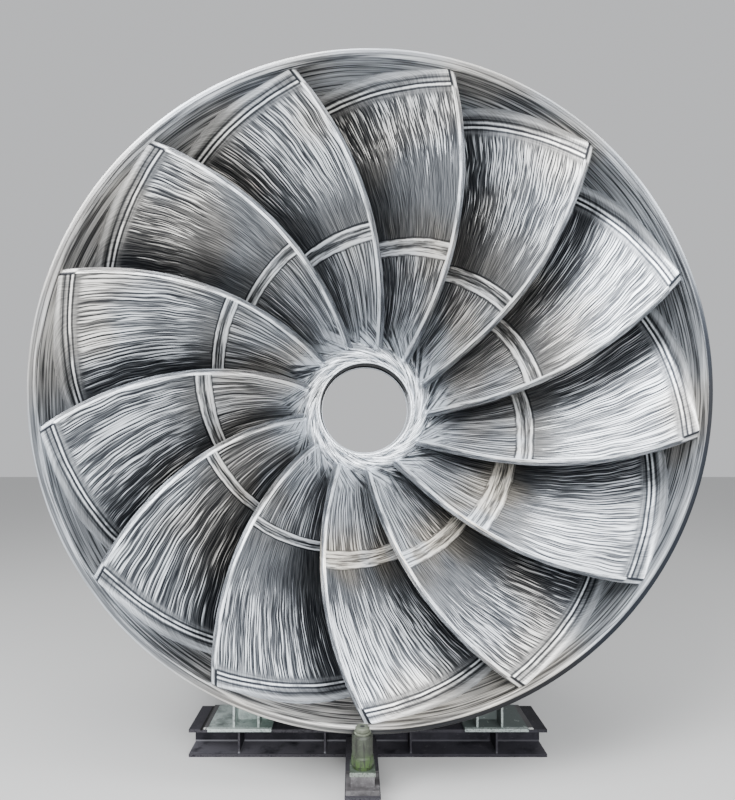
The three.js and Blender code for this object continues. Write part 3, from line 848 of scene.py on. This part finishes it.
def weld_metal():
    """Bright steel with strokes along the weld and a dark line at its foot."""
    n = Nodes("hub_weld_steel")
    where = n.add("TexCoord", out="Object")
    grain = n.layer("grain")
    lines = n.noise(n.stretch(grain, 34.0, 4.0), 3.0)
    value = n.scaled(n.band(lines, 0.41, 0.52), 0.82, 0.26)
    value = n.darker(value, n.band(n.layer("rim", "Fac"), 0.72, 0.97), 0.6)
    return metal(n, value, lines, where)


weld_steel = weld_metal()
for k in range(BLADES):
    for lane in range(len(HUB_WELDS)):
        hub_weld(k, lane)

# Cradle and jack: paint and rounding of the nodes whose names start like this, and the first row that fits counts
PAINTS = [
    (("beam", "tie", "jack_skid"), dark_paint, 0.004),
    ("saddle", pale_paint, 0.003),
    ("jack_foot", foot_paint, 0.003),
    (("jack_gland", "jack_ram"), cap_paint, None),
    ("jack_barrel", jack_paint, None),
    ("jack", bare_steel, 0.002),
]
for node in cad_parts:
    cad = bpy.data.objects.get(node)
    row = next((row for row in PAINTS if node.startswith(row[0])), None)
    if cad is None or cad.hide_render or row is None:
        continue
    _, paint, width = row
    cad.data.materials.clear()
    cad.data.materials.append(paint)
    if width:
        rounding = cad.modifiers.new("rounding", "BEVEL")
        rounding.width = width
        rounding.segments = 2
        rounding.limit_method = "ANGLE"
        rounding.angle_limit = math.radians(40)


def stop_bar(name, left, right):
    """Flat bar with chamfered edges on the top flange of the front beam, beside a saddle."""
    front, back, low, high, chamfer, end_size = -0.6155, -0.0795, 0.2763, 0.29, 0.003, 0.94
    outline = [(left, low), (left, high - chamfer), (left + chamfer, high), (right - chamfer, high),
               (right, high - chamfer), (right, low)]
    middle = (left + right) / 2
    rings = ((front, end_size), (front + chamfer, 1.0), (back - chamfer, 1.0), (back, end_size))
    points = [(middle + (x - middle) * size, y, low + (z - low) * size) for y, size in rings for x, z in outline]
    faces = tube_faces(len(rings), len(outline)) + tube_ends(len(rings), len(outline))
    piece = mesh_object(name, points, faces)
    piece.data.materials.append(stop_paint)


stop_bar("stop_bar_left", -1.652, -1.596)
stop_bar("stop_bar_right", 1.596, 1.654)

# Stage, light and camera

def plane(name, corners):
    """Plane that belongs to the stage."""
    mesh = bpy.data.meshes.new(name)
    mesh.from_pydata(corners, [], [(0, 1, 2, 3)])
    piece = bpy.data.objects.new(name, mesh)
    bpy.context.scene.collection.objects.link(piece)
    return piece


floor = plane("floor", [(x * FLOOR_HALF, y * FLOOR_HALF, 0) for x, y in ((-1, -1), (1, -1), (1, 1), (-1, 1))])
n = Nodes("floor_pale")
floor.data.materials.append(n.shade(Base_Color=(0.56, 0.56, 0.555, 1), Roughness=0.85))

HUB = (0, FACE_Y + 1.0, AXIS_Z)


def lamp(name, spot, size, power, colour=(1, 1, 1)):
    """Soft box that faces the hub, its power in watts."""
    light = bpy.data.lights.new(name, "AREA")
    light.shape = "RECTANGLE"
    light.size, light.size_y = size
    light.energy = power
    light.color = colour
    lamp_object = bpy.data.objects.new(name, light)
    lamp_object.location = spot
    lamp_object.rotation_euler = (Vector(HUB) - Vector(spot)).to_track_quat("-Z", "Y").to_euler()
    bpy.context.scene.collection.objects.link(lamp_object)


lamp("key", (-5.5, -9.5, 12), size=(6, 6), power=2900, colour=(0.98, 0.99, 1.0))
lamp("fill", (8, -11, 7), size=(6, 6), power=1150, colour=(0.97, 0.985, 1.0))
lamp("front", (0, -14, 5), size=(5, 5), power=2000, colour=(0.98, 0.99, 1.0))
lamp("top", (1, -5, 13), size=(8, 4), power=900)

world = bpy.data.worlds.new("studio")
bpy.context.scene.world = world
world.use_nodes = True
background = world.node_tree.nodes["Background"]
background.inputs["Color"].default_value = (0.86, 0.87, 0.89, 1)
background.inputs["Strength"].default_value = 0.75

# Camera fitted to the photo, its focal length and shifts in pixels of the picture's height
PICTURE_HEIGHT = 800
FOCAL = 584
SHIFT = (13.5, 50)
SENSOR = 36
camera_data = bpy.data.cameras.new("camera")
camera_data.sensor_width = SENSOR
camera_data.lens = FOCAL / PICTURE_HEIGHT * SENSOR
camera_data.shift_x = SHIFT[0] / PICTURE_HEIGHT
camera_data.shift_y = SHIFT[1] / PICTURE_HEIGHT
camera_data.clip_end = 300
camera = bpy.data.objects.new("camera", camera_data)
camera.location = (-0.139, FACE_Y - 5.1, AXIS_Z - 0.5135)
camera.rotation_euler = (math.pi / 2, 0, 0)
bpy.context.scene.collection.objects.link(camera)
bpy.context.scene.camera = camera
